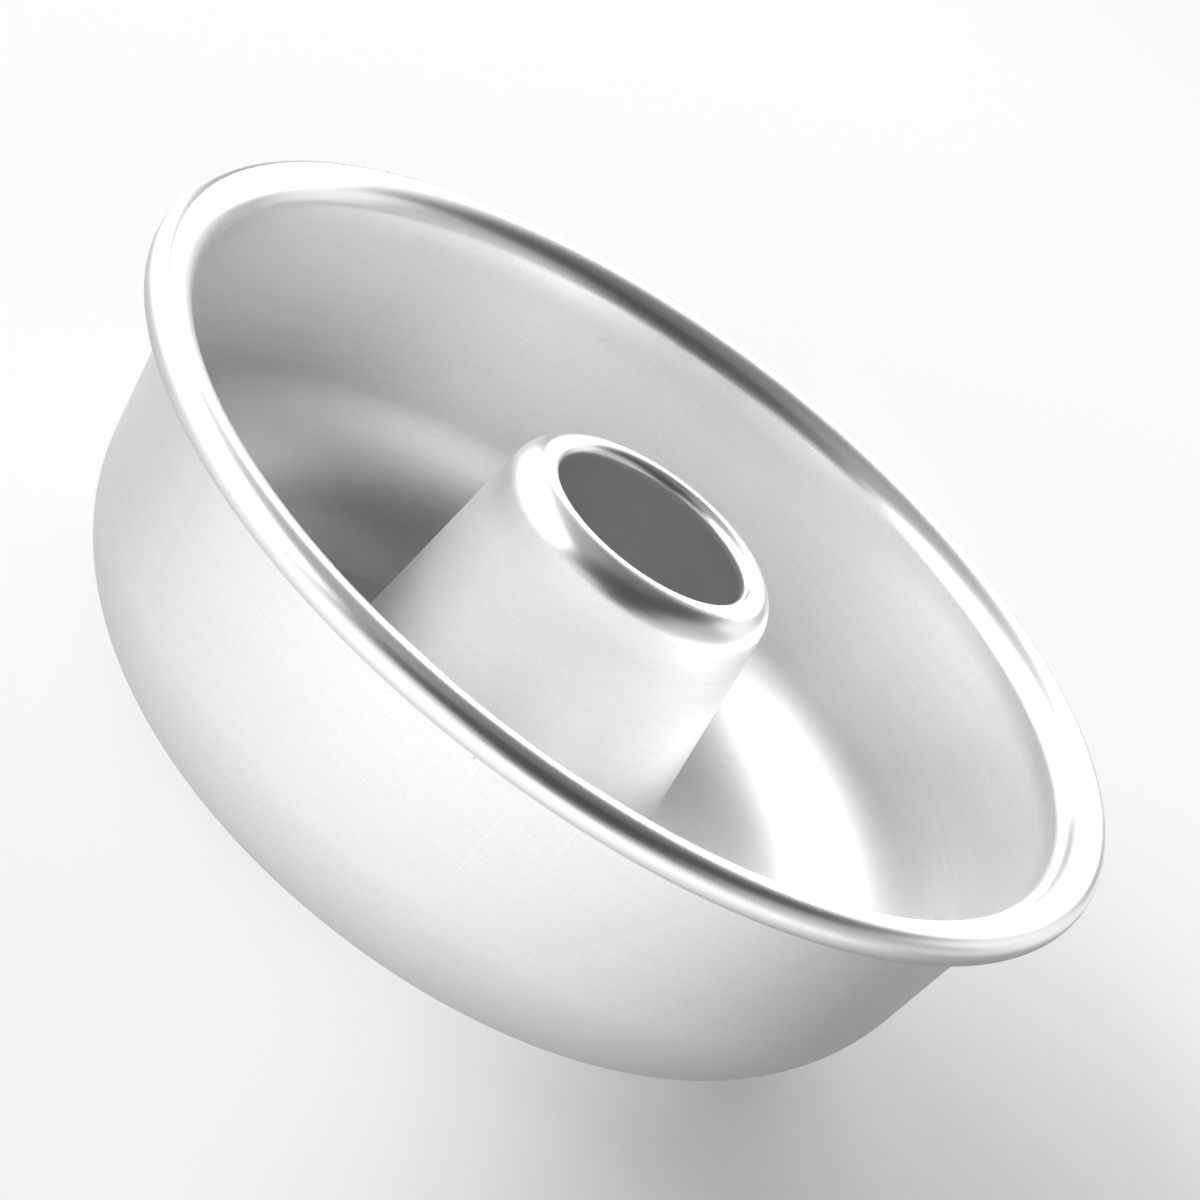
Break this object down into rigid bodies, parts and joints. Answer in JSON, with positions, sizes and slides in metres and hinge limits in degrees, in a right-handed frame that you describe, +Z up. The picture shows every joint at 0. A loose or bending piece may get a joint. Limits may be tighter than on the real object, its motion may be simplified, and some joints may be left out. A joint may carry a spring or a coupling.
{
  "type": "tube cake pan",
  "caption": "Round satin aluminium tube cake pan with a curled rim, flared wall, rounded floor corner and a lift-out base with a conical centre tube.",
  "frame": {"origin": "on the pan's axis, in the plane that the pan stands on", "axes": "+Z up along the pan's axis, out of its mouth; +X and +Y across the round pan, any turn"},
  "size_m": [0.2198, 0.2198, 0.074],
  "materials": {
    "shell_aluminium": "satin",
    "plate_aluminium": "satin",
    "tube_aluminium": "satin"
  },
  "bodies": {
    "shell": {"outer_shell": "shell_aluminium"},
    "base": {"base_plate": "plate_aluminium", "centre_tube": "tube_aluminium"}
  },
  "joints": [
    {"name": "base_lift", "type": "slide", "parent": "shell", "child": "base", "axis": [0, 0, 1], "range_m": [0, 0.08]}
  ]
}
